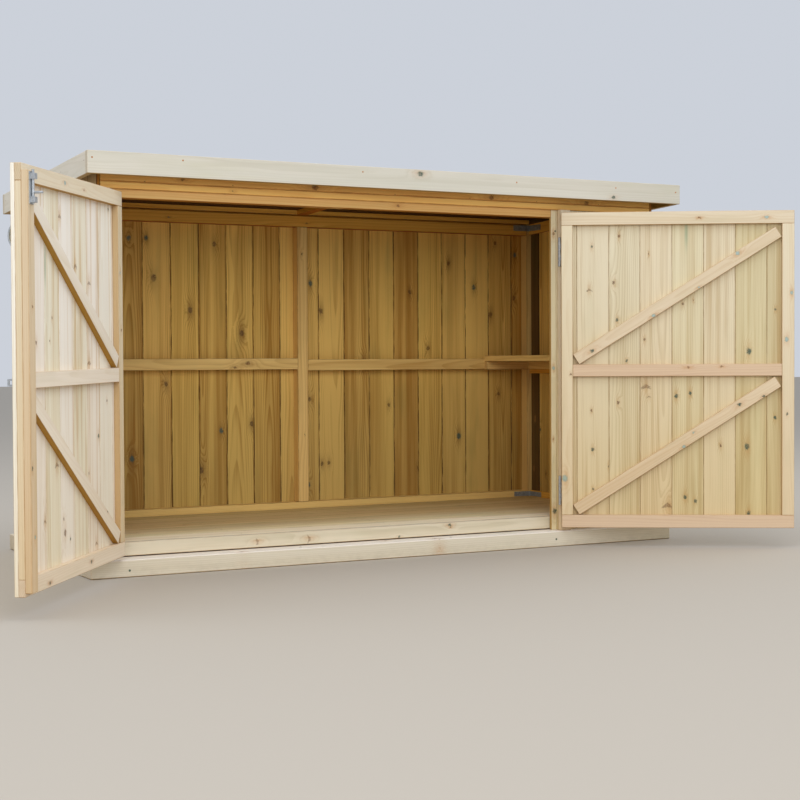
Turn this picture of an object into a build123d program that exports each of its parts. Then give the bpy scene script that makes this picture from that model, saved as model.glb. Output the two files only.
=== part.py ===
from build123d import *
import os
import math

# Low timber store with a pent roof and a pair of ledged doors, standing open.
# Millimetres. X runs along the front, -Y is the front, +Z is up.
# The origin is the middle of the underside, on the ground.

# ---- driving dimensions -------------------------------------------------
WALL_LENGTH = 2228.0        # over the side cladding
WALL_DEPTH = 878.0          # front frame face to outer face of the back cladding
CLAD = 12.0                 # cladding board thickness
SEC = 45.0                  # frame timber, square
END_FRAME = 12.0            # thickness of the end walls' rails
CORNER = 24.0               # width of the back corner posts
TRIM = 19.0                 # trims and door ledges

BASE_TOP = 57.0             # height of the base beams
BASE_WIDE = 95.0            # beam measured front to back
BASE_OUT_FRONT = 54.0       # ledge in front of and behind the walls
BASE_X = (-1158.0, 1168.0)  # ends of the base
FLOOR_TOP = 106.0
FLOOR_THICK = 16.0

FASCIA_TOP = 1369.7         # at the front face of the front fascia
FASCIA_HIGH = 73.2
FASCIA_THICK = 20.0
FASCIA_OUT_FRONT = 96.0     # ahead of the front frame face
FASCIA_OUT_BACK = 53.0      # behind the back cladding
FASCIA_X = (-1170.0, 1185.0)
ROOF_SLOPE = 0.046          # fall per unit of depth
FASCIA_UP = 10.0            # the fascia stands this far above the felt
FELT = 2.5
DECK = 12.0
BATTEN = 18.0

JAMB_LEFT_SIDE = 651.0      # side of the right jamb's stop lath towards the doorway
JAMB_POST = 673.3           # side of the right jamb post towards the doorway
STOP = 12.0                 # thickness of the stop lath
HEADER_Z = (1233.0, 1278.0)
SILL_BACK = 20.0            # the rail under the doorway lies this far behind the frame face
TOP_BOARD_BOTTOM = 1261.0

HINGE_LEFT_X = -1066.1
HINGE_RIGHT_X = 664.9
HINGE_OUT = 36.0            # hinge line ahead of the front frame face
LEFT_OPEN = 126.9           # degrees from closed
RIGHT_OPEN = 147.7
DOOR_Z = (71.3, 1246.3)
DOOR_FREE = 862.5           # hinge line to free edge
DOOR_GAP = 6.0              # hinge line to hinge edge
TOP_RAIL = 48.0
BOTTOM_RAIL = 47.5
MID_RAIL = (635.5, 680.5)
BRACE_WIDE = 44.0
LEFT_RACK = 0.0105          # the left leaf has dropped this much per unit of width

HINGE_LONG = 108.0
HINGE_LOW_Z = 154.0
HINGE_HIGH_Z = 1048.0
KNUCKLE_R = 5.0
STRAP = 2.0                 # corner straps

SHELF_TOP = 718.0
SHELF_WIDE = 240.0

# ---- derived planes ------------------------------------------------------
YF = -WALL_DEPTH / 2        # front face of the front frame
YB = WALL_DEPTH / 2         # outer face of the back cladding
XW = WALL_LENGTH / 2
XI = XW - CLAD              # outer side of the frames
XE = XI - END_FRAME         # inner side of the end frames
YBI = YB - CLAD             # rear side of the back frame
Y_ROOF_F = YF - FASCIA_OUT_FRONT
Y_ROOF_B = YB + FASCIA_OUT_BACK
HINGE_Y = YF - HINGE_OUT


def roof_top(y):
    return FASCIA_TOP - ROOF_SLOPE * (y - Y_ROOF_F)      # the fascias' top line


def deck_under(y):
    return roof_top(y) - FASCIA_UP - FELT - DECK


def wall_top(y):
    return deck_under(y) - BATTEN


def block(x0, x1, y0, y1, z0, z1):
    return Pos((x0 + x1) / 2, (y0 + y1) / 2, (z0 + z1) / 2) * Box(x1 - x0, y1 - y0, z1 - z0)


def prism_yz(points, x0, x1):
    # points are (y, z); extruded along +X from x0 to x1
    face = Plane.YZ.offset(x0) * make_face(Polyline(*points, close=True))
    return extrude(face, amount=x1 - x0, dir=(1, 0, 0))


def sloped(x0, x1, y0, y1, z0, top):
    # a block whose top follows the roof line given by top(y)
    return prism_yz([(y0, z0), (y1, z0), (y1, top(y1)), (y0, top(y0))], x0, x1)


def layer(x0, x1, y0, y1, bottom, top):
    # a sheet between two roof lines
    return prism_yz([(y0, bottom(y0)), (y1, bottom(y1)), (y1, top(y1)), (y0, top(y0))], x0, x1)


def rod(x, y, z0, z1, r):
    return Pos(x, y, (z0 + z1) / 2) * Cylinder(r, z1 - z0)


def group(*solids):
    return Compound(children=list(solids))


parts = {}

# ---- base and floor ------------------------------------------------------
yb0 = YF - BASE_OUT_FRONT
yb1 = YB + BASE_OUT_FRONT
front_beam = block(BASE_X[0], BASE_X[1], yb0, yb0 + BASE_WIDE, 0, BASE_TOP)
top_front_edges = front_beam.edges().filter_by(Axis.X).sort_by(lambda e: e.center().Z - e.center().Y)[-1:]
parts["base_long_beams"] = group(
    fillet(top_front_edges, 5),
    block(BASE_X[0], BASE_X[1], yb1 - BASE_WIDE, yb1, 0, BASE_TOP))
ye0, ye1 = yb0 + BASE_WIDE, yb1 - BASE_WIDE
parts["base_end_beams"] = group(
    block(BASE_X[0], BASE_X[0] + BASE_WIDE, ye0, ye1, 0, BASE_TOP),
    block(BASE_X[1] - BASE_WIDE, BASE_X[1], ye0, ye1, 0, BASE_TOP))
parts["base_bearers"] = group(*[
    block(x - SEC / 2, x + SEC / 2, ye0, ye1, 0, BASE_TOP) for x in (-587.0, 0.0, 587.0)])
yi0, yi1 = YF + SEC, YBI - SEC          # between front and back frames
xs_joist = (-(XE - SEC / 2), -587.0, 0.0, 587.0, XE - SEC / 2)
parts["floor_joists"] = group(*[
    block(x - SEC / 2, x + SEC / 2, yi0, yi1, BASE_TOP, FLOOR_TOP - FLOOR_THICK) for x in xs_joist])
parts["floor_boards"] = block(-XE, XE, yi0, yi1, FLOOR_TOP - FLOOR_THICK, FLOOR_TOP)

# ---- front frame ---------------------------------------------------------
yf1 = YF + SEC
parts["front_posts"] = group(
    sloped(-XI, -XI + SEC, YF, yf1, BASE_TOP, wall_top),
    sloped(JAMB_POST, JAMB_POST + SEC, YF, yf1, BASE_TOP, wall_top)
    + sloped(JAMB_LEFT_SIDE, JAMB_POST, YF, YF + STOP, BASE_TOP, wall_top),
    sloped(XI - SEC, XI, YF, yf1, BASE_TOP, wall_top))
xo0, xo1 = -XI + SEC, JAMB_LEFT_SIDE
BOLT_U = 840.0
BOLT_V = 56.0
bolt_hole_x = HINGE_LEFT_X + BOLT_U
bolt_hole_y = HINGE_Y + BOLT_V
header = block(xo0, xo1, YF, yf1, *HEADER_Z) + block(xo1, JAMB_POST, YF + STOP, yf1, *HEADER_Z)
header -= rod(bolt_hole_x, bolt_hole_y, HEADER_Z[0] - 1, HEADER_Z[0] + 26, 6.5)
parts["front_header_rail"] = header
xr0, xr1 = JAMB_POST + SEC, XI - SEC
parts["front_bottom_rail"] = block(xo0, JAMB_POST, YF + SILL_BACK, yf1, BASE_TOP, FLOOR_TOP)
parts["front_right_rails"] = group(
    block(xr0, xr1, YF, yf1, BASE_TOP, FLOOR_TOP),
    block(xr0, xr1, YF, yf1, 660.0, 705.0),
    block(xr0, xr1, YF, yf1, *HEADER_Z))
yc0 = YF - CLAD
parts["front_top_board"] = sloped(-XI, XI, yc0, YF, TOP_BOARD_BOTTOM, wall_top)
x_panel = HINGE_RIGHT_X + 8.4
x_trim_l = HINGE_LEFT_X - 8.4
parts["front_right_boards"] = block(x_panel, XI, yc0, YF, BASE_TOP, TOP_BOARD_BOTTOM)
parts["front_trims"] = group(
    block(-XW, x_trim_l, yc0 - TRIM, yc0, BASE_TOP, TOP_BOARD_BOTTOM)
    + block(-XI, x_trim_l, yc0, YF, BASE_TOP, TOP_BOARD_BOTTOM),
    block(x_panel, x_panel + SEC, yc0 - TRIM, yc0, BASE_TOP, TOP_BOARD_BOTTOM),
    block(XW - SEC, XW, yc0 - TRIM, yc0, BASE_TOP, TOP_BOARD_BOTTOM))

# ---- back frame ----------------------------------------------------------
yk0 = YBI - SEC
MID_POST_X = -16.0
x_corner = XI - CORNER
rail_top_z = wall_top(YBI)
x_mid0, x_mid1 = MID_POST_X, MID_POST_X + SEC
z_low, z_high = FLOOR_TOP + 26.0, rail_top_z - SEC - 2
parts["back_posts"] = group(
    sloped(-XI, -x_corner, yk0, YBI, BASE_TOP, wall_top),
    block(x_mid0, x_mid1, yk0, YBI, z_low, z_high),
    sloped(x_corner, XI, yk0, YBI, BASE_TOP, wall_top))
parts["back_rails"] = group(
    sloped(-x_corner, x_corner, yk0, YBI, z_high, wall_top),
    block(-x_corner, x_mid0, yk0, YBI, 665.0, 710.0),
    block(x_mid1, x_corner, yk0, YBI, 660.0, 705.0),
    block(-x_corner, x_corner, yk0, YBI, BASE_TOP, z_low))
parts["back_boards"] = sloped(-XI, XI, YBI, YB, BASE_TOP, wall_top)

# ---- end walls -----------------------------------------------------------
for name, s in (("left", -1), ("right", 1)):
    a, b = sorted((s * XI, s * XE))
    parts[name + "_end_rails"] = group(
        block(a, b, yi0, yi1, BASE_TOP, FLOOR_TOP + 26),
        block(a, b, yi0, yi1, 640.0, 680.0),
        layer(a, b, yi0, yi1, lambda y: wall_top(y) - SEC, wall_top))
    c, d = sorted((s * XI, s * XW))
    parts[name + "_end_boards"] = sloped(c, d, yc0, YB, BASE_TOP, wall_top)

# ---- roof ----------------------------------------------------------------
yr0, yr1 = Y_ROOF_F + FASCIA_THICK, Y_ROOF_B - FASCIA_THICK
xr0f, xr1f = FASCIA_X[0] + FASCIA_THICK, FASCIA_X[1] - FASCIA_THICK
parts["roof_battens"] = group(
    layer(-XW, XW, yc0, yf1, wall_top, deck_under),
    layer(-XW, XW, yk0, YB, wall_top, deck_under),
    layer(-XW, -XE, yf1, yk0, wall_top, deck_under),
    layer(XE, XW, yf1, yk0, wall_top, deck_under),
    layer(MID_POST_X, MID_POST_X + SEC, yf1, yk0, wall_top, deck_under))
parts["roof_deck"] = layer(xr0f, xr1f, yr0, yr1, deck_under, lambda y: deck_under(y) + DECK)
parts["roof_felt"] = layer(xr0f, xr1f, yr0, yr1, lambda y: deck_under(y) + DECK, lambda y: deck_under(y) + DECK + FELT)
parts["fascia_front"] = block(FASCIA_X[0], FASCIA_X[1], Y_ROOF_F, yr0, FASCIA_TOP - FASCIA_HIGH, FASCIA_TOP)
zb_top = roof_top(yr1)
parts["fascia_back"] = block(FASCIA_X[0], FASCIA_X[1], yr1, Y_ROOF_B, zb_top - FASCIA_HIGH, zb_top)
parts["fascia_sides"] = group(*[
    layer(a, b, yr0, yr1, lambda y: roof_top(y) - FASCIA_HIGH, roof_top)
    for a, b in ((FASCIA_X[0], xr0f), (xr1f, FASCIA_X[1]))])

# ---- shelf on the right end wall ----------------------------------------
xs0 = XI - SHELF_WIDE
parts["shelf_board"] = block(xs0, XE, yi0 + 20, yk0, SHELF_TOP - 25, SHELF_TOP)
parts["shelf_bearers"] = group(
    block(xs0, XE, yk0 - 20, yk0, SHELF_TOP - 60, SHELF_TOP - 25),
    block(XE - 20, XE, yi0 + 20, yk0 - 20, SHELF_TOP - 60, SHELF_TOP - 25))

# ---- straps in the back corners ------------------------------------------
straps = []
for s in (-1, 1):
    for z0, z1 in ((1256.0, 1280.0), (FLOOR_TOP + 2, FLOOR_TOP + 22)):
        ax0, ax1 = sorted((s * (XE - 80), s * XE))
        bx0, bx1 = sorted((s * (XE - STRAP), s * XE))
        straps.append(block(ax0, ax1, yk0 - STRAP, yk0, z0, z1) + block(bx0, bx1, yk0 - 90, yk0 - STRAP, z0, z1))
parts["corner_straps"] = group(*straps)


# ---- doors ---------------------------------------------------------------
# A leaf is drawn closed in its own frame: u from the hinge line along the
# leaf, v from the outer face inwards, z up. side -1 hangs on the left,
# +1 on the right.
def leaf_block(side, u0, u1, v0, v1, z0, z1):
    x0, x1 = sorted((-side * u0, -side * u1))
    return block(x0, x1, v0, v1, z0, z1)


def drop(side, u):
    # how far a point of the leaf has sunk: the left leaf has racked a little
    return LEFT_RACK * u if side < 0 else 0.0


def stand(side, shape):
    if side < 0:
        return Pos(HINGE_LEFT_X, HINGE_Y, 0) * Rot(0, 0, -LEFT_OPEN) * shape
    return Pos(HINGE_RIGHT_X, HINGE_Y, 0) * Rot(0, 0, RIGHT_OPEN) * shape


def leaf_prism(side, pts, v0, v1):
    # pts are (u, z); extruded through the leaf's thickness
    face = Plane.XZ.offset(-v0) * make_face(Polyline(*[(-side * u, z) for u, z in pts], close=True))
    return extrude(face, amount=v1 - v0, dir=(0, 1, 0))


def leaf_board(side, u0, u1, v0, v1, z0, z1):
    # a straight member of the leaf, racked with it
    pts = [(u, z - drop(side, u)) for u, z in ((u0, z0), (u1, z0), (u1, z1), (u0, z1))]
    return leaf_prism(side, pts, v0, v1)


def brace(side, u0, z0, u1, z1):
    # a square-ended diagonal between two end middles
    a = math.atan2(z1 - z0, u1 - u0)
    nx, nz = -math.sin(a) * BRACE_WIDE / 2, math.cos(a) * BRACE_WIDE / 2
    pts = [(u0 + nx, z0 + nz), (u0 - nx, z0 - nz), (u1 - nx, z1 - nz), (u1 + nx, z1 + nz)]
    pts = [(u, z - drop(side, u)) for u, z in pts]
    return leaf_prism(side, pts, CLAD, CLAD + TRIM)


U0, U1 = DOOR_GAP, DOOR_FREE
V1, V2 = CLAD, CLAD + TRIM
DZ0, DZ1 = DOOR_Z
UI0, UI1 = 48.0, DOOR_FREE - SEC
for name, side in (("left", -1), ("right", 1)):
    pre = name + "_door_"
    parts[pre + "boards"] = stand(side, leaf_board(side, U0, U1, 0, V1, DZ0, DZ1))
    parts[pre + "rails"] = stand(side, group(
        leaf_board(side, U0, U1, V1, V2, DZ1 - TOP_RAIL, DZ1),
        leaf_board(side, UI0, UI1, V1, V2, *MID_RAIL),
        leaf_board(side, U0, U1, V1, V2, DZ0, DZ0 + BOTTOM_RAIL)))
    parts[pre + "stiles"] = stand(side, group(
        leaf_board(side, U0, UI0, V1, V2, DZ0 + BOTTOM_RAIL, DZ1 - TOP_RAIL),
        leaf_board(side, UI1, U1, V1, V2, DZ0 + BOTTOM_RAIL, DZ1 - TOP_RAIL)))
    parts[pre + "braces"] = stand(side, group(
        brace(side, 60.2, 699.6, 805.0, 1167.5),
        brace(side, 60.2, 137.8, 803.5, 614.5)))

parts["left_door_closing_batten"] = stand(-1, leaf_board(-1, UI1, U1, V2, V2 + TRIM, 82, 1226))

# butt hinges: five knuckles on the hinge line, the door takes the second and
# fourth, the frame takes the others and the pin's ends
step = HINGE_LONG / 5


def knuckles(z, which):
    return [Cylinder(KNUCKLE_R, step - 1.0).moved(Location((0, 0, z + step * (i + 0.5)))) for i in which]


frame_halves = []
for name, side, xh, xt in (("left", -1, HINGE_LEFT_X, x_trim_l), ("right", 1, HINGE_RIGHT_X, x_panel)):
    moving, fixed = [], []
    for z in (HINGE_LOW_Z, HINGE_HIGH_Z):
        for i, k in zip((1, 3), knuckles(z, (1, 3))):
            zz0, zz1 = z + step * i + 0.5, z + step * (i + 1) - 0.5
            tongue = leaf_block(side, 0, U0, 0, 2.0, zz0, zz1)
            moving.append(k + tongue - Cylinder(2.6, 3 * HINGE_LONG).moved(Location((0, 0, z))))
        for i, k in zip((0, 2, 4), knuckles(z, (0, 2, 4))):
            zz0, zz1 = z + step * i + 0.5, z + step * (i + 1) - 0.5
            tongue = leaf_block(side, -8.4, 0, 3.0, 5.0, zz0, zz1)
            fixed.append(Pos(xh, HINGE_Y, 0) * (k + tongue))
        pin = Pos(xh, HINGE_Y, z + HINGE_LONG / 2) * Cylinder(2.4, HINGE_LONG + 1)
        side0, side1 = sorted((xt, xt - side * 2.0))
        flap = block(side0, side1, HINGE_Y + 5.0, HINGE_Y + 17.0, z, z + HINGE_LONG)
        whole = flap + pin
        for f in fixed[-3:]:
            whole += f
        fixed = fixed[:-3] + [whole]
    parts[name + "_door_hinge_knuckles"] = stand(side, group(*moving))
    frame_halves += fixed
parts["frame_hinges"] = group(*frame_halves)

# barrel bolt on the closing batten: plate, two guides and a sliding rod
vb = V2 + TRIM
bolt_r = 4.0
plate = leaf_block(-1, BOLT_U - 14, BOLT_U + 14, vb, vb + 2, 1126, 1214)
guides = [leaf_block(-1, BOLT_U - 9, BOLT_U + 9, vb + 2, vb + 15, z, z + 16) for z in (1194, 1130)]
guide_bore = rod(BOLT_U, BOLT_V, 1100, 1240, bolt_r + 0.6)
housing = plate
for g in guides:
    housing += g - guide_bore
parts["left_door_bolt_housing"] = stand(-1, housing)
bolt = rod(BOLT_U, BOLT_V, 1128, 1220, bolt_r)
bolt += Pos(BOLT_U, BOLT_V + 14, 1158) * Rot(90, 0, 0) * Cylinder(3.5, 28)
parts["bolt_rod"] = stand(-1, bolt)

# bow handle and staple on the outer face, near the free edge
hz0, hz1 = 1003.0, 1082.0
hzm = (hz0 + hz1) / 2
bow = make_face([
    ThreePointArc((0, hz0), (-19, hzm), (0, hz1)), Line((0, hz1), (0, hz1 - 7)),
    ThreePointArc((0, hz1 - 7), (-15, hzm), (0, hz0 + 7)), Line((0, hz0 + 7), (0, hz0))])
handle_solid = extrude(Plane.YZ.offset(825.0) * bow, amount=12.0, dir=(1, 0, 0))
parts["left_door_handle"] = stand(-1, handle_solid)
staple = leaf_block(-1, 819, 855, -3, 0, 629, 659)
staple += leaf_block(-1, 835, 840, -23, -3, 634, 654) - leaf_block(-1, 834, 841, -18, -3, 639, 649)
parts["left_door_staple"] = stand(-1, staple)
hasp = leaf_block(1, 793, 855, -3, 0, 637, 667)
parts["right_door_hasp"] = stand(1, hasp)

# ---- write ---------------------------------------------------------------
os.makedirs("parts", exist_ok=True)
for name, shape in parts.items():
    shape.label = name
    export_step(shape, "parts/%s.step" % name)
print(len(parts), "parts")
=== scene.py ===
import bpy
import bmesh
import math
import numpy as np
from mathutils import Matrix, Vector


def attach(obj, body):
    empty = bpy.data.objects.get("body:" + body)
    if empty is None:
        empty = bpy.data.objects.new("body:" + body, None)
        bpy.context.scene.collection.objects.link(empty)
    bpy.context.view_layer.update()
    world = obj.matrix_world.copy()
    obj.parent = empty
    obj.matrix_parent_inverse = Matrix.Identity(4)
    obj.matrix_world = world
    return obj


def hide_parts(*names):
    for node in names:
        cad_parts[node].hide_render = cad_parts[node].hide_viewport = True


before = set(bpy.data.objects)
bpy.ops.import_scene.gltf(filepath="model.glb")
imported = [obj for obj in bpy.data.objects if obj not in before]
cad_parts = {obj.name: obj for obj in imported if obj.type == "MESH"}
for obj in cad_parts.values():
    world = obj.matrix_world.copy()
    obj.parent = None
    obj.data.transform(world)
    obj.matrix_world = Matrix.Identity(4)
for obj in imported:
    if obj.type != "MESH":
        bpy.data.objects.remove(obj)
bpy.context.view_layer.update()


rng = np.random.default_rng(8109)

# ---- the frame's dimensions, in millimetres --------------------------------
YF, YB, XW, XI, YBI = -439.0, 439.0, 1114.0, 1102.0, 427.0
YC0, YF1, YK0 = -451.0, -394.0, 382.0
XE, XC = 1090.0, 1078.0
Y_ROOF_F, Y_ROOF_B, YR0, YR1 = -535.0, 492.0, -515.0, 472.0
XR0, XR1, XD0, XD1 = -1170.0, 1185.0, -1150.0, 1165.0
XPANEL, XTRIM = 673.3, -1074.5
HINGE_Y, HINGE_LX, HINGE_RX = -475.0, -1066.1, 664.9
T_LEFT, T_RIGHT = math.radians(126.9), math.radians(147.7)
RACK = 0.0105
DZ0, DZ1 = 71.3, 1246.3


def roof_top(y):
    return 1369.7 - 0.046 * (y - Y_ROOF_F)


def deck_under(y):
    return roof_top(y) - 24.5


def wall_top(y):
    return roof_top(y) - 42.5


# ---- colours ----------------------------------------------------------------
def lin(r, g, b):
    out = []
    for c in (r, g, b):
        c = c / 255.0
        out.append(c / 12.92 if c <= 0.04045 else ((c + 0.055) / 1.055) ** 2.4)
    return (out[0], out[1], out[2], 1.0)


# ---- node helpers -----------------------------------------------------------
class Nodes:
    def __init__(self, tree):
        self.t = tree

    def add(self, kind, ins=None, **props):
        n = self.t.nodes.new(kind)
        for k, v in props.items():
            setattr(n, k, v)
        for k, v in (ins or {}).items():
            s = n.inputs[k]
            if isinstance(v, bpy.types.NodeSocket):
                self.t.links.new(v, s)
            else:
                s.default_value = v
        return n

    def m(self, op, a, b=None, c=None, clamp=False):
        ins = {0: a}
        if b is not None:
            ins[1] = b
        if c is not None:
            ins[2] = c
        return self.add("ShaderNodeMath", ins, operation=op, use_clamp=clamp).outputs[0]

    def smooth(self, x, lo, hi):
        return self.add("ShaderNodeMapRange", {"Value": x, "From Min": lo, "From Max": hi, "To Min": 0.0, "To Max": 1.0},
                        interpolation_type="SMOOTHSTEP").outputs[0]

    def noise(self, vec, scale, detail=2.0, rough=0.5, dist=0.0):
        return self.add("ShaderNodeTexNoise", {"Vector": vec, "Scale": scale, "Detail": detail, "Roughness": rough, "Distortion": dist},
                        noise_dimensions="3D").outputs[0]

    def vec(self, x, y, z):
        return self.add("ShaderNodeCombineXYZ", {0: x, 1: y, 2: z}).outputs[0]

    def vmul(self, v, k):
        return self.add("ShaderNodeVectorMath", {0: v, 1: k}, operation="MULTIPLY").outputs[0]

    def vadd(self, v, k):
        return self.add("ShaderNodeVectorMath", {0: v, 1: k}, operation="ADD").outputs[0]

    def split(self, v):
        o = self.add("ShaderNodeSeparateXYZ", {0: v}).outputs
        return o[0], o[1], o[2]

    def mix(self, f, a, b, blend="MIX"):
        n = self.add("ShaderNodeMix", data_type="RGBA", blend_type=blend, clamp_factor=True)
        for i, v in ((0, f), (6, a), (7, b)):
            if isinstance(v, bpy.types.NodeSocket):
                self.t.links.new(v, n.inputs[i])
            else:
                n.inputs[i].default_value = v
        return n.outputs[2]

    def attr(self, name, what="Vector"):
        return self.add("ShaderNodeAttribute", attribute_type="GEOMETRY", attribute_name=name).outputs[what]


def knot_group():
    g = bpy.data.node_groups.new("knot", "ShaderNodeTree")
    for n in ("Place", "Knot"):
        g.interface.new_socket(n, in_out="INPUT", socket_type="NodeSocketVector")
    for n in ("Core", "Halo", "Push", "Green", "Pale", "Dist"):
        g.interface.new_socket(n, in_out="OUTPUT", socket_type="NodeSocketFloat")
    k = Nodes(g)
    i = k.add("NodeGroupInput")
    o = k.add("NodeGroupOutput")
    a, c, w = k.split(i.outputs[0])
    ka, kc, kr = k.split(i.outputs[1])
    r = k.m("MAXIMUM", k.m("MODULO", k.m("ABSOLUTE", kr), 0.1), 0.0005)
    da = k.m("SUBTRACT", a, ka)
    dc = k.m("SUBTRACT", c, kc)
    dc = k.m("ADD", dc, k.m("MULTIPLY", da, w))
    spike = k.m("GREATER_THAN", kr, 0.05)
    bend = k.m("ADD", da, k.m("MULTIPLY", k.m("MULTIPLY", k.m("ABSOLUTE", dc), spike), 0.55))
    x = k.m("DIVIDE", bend, k.m("MULTIPLY", r, k.m("ADD", 1.25, k.m("MULTIPLY", spike, -0.45))))
    y = k.m("DIVIDE", dc, k.m("MULTIPLY", r, k.m("ADD", 1.0, k.m("MULTIPLY", spike, 1.3))))
    d = k.m("SQRT", k.m("ADD", k.m("MULTIPLY", x, x), k.m("MULTIPLY", y, y)))
    core = k.m("MULTIPLY", k.m("SUBTRACT", 1.0, k.smooth(d, 0.6, 1.1)), k.m("ADD", 1.0, k.m("MULTIPLY", spike, -0.25)))
    x2 = k.m("DIVIDE", da, k.m("MULTIPLY", r, 5.0))
    y2 = k.m("DIVIDE", dc, k.m("MULTIPLY", r, 1.9))
    d2 = k.m("ADD", k.m("MULTIPLY", x2, x2), k.m("MULTIPLY", y2, y2))
    halo = k.m("POWER", 2.71828, k.m("MULTIPLY", d2, -1.6))
    push = k.m("MULTIPLY", r, k.m("POWER", 2.71828, k.m("MULTIPLY", d2, -0.9)))
    pale = k.m("MULTIPLY", k.m("SUBTRACT", 1.0, k.smooth(d, 0.5, 1.5)), k.m("LESS_THAN", kr, -0.05))
    green = k.m("MULTIPLY", k.m("SUBTRACT", 1.0, k.smooth(d, 0.6, 1.5)), k.m("LESS_THAN", kr, 0.0))
    for n, v in (("Core", core), ("Halo", halo), ("Push", push), ("Green", green), ("Pale", pale), ("Dist", d)):
        k.t.links.new(v, o.inputs[n])
    return g


KNOT = knot_group()
KNOTS = 6


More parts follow.
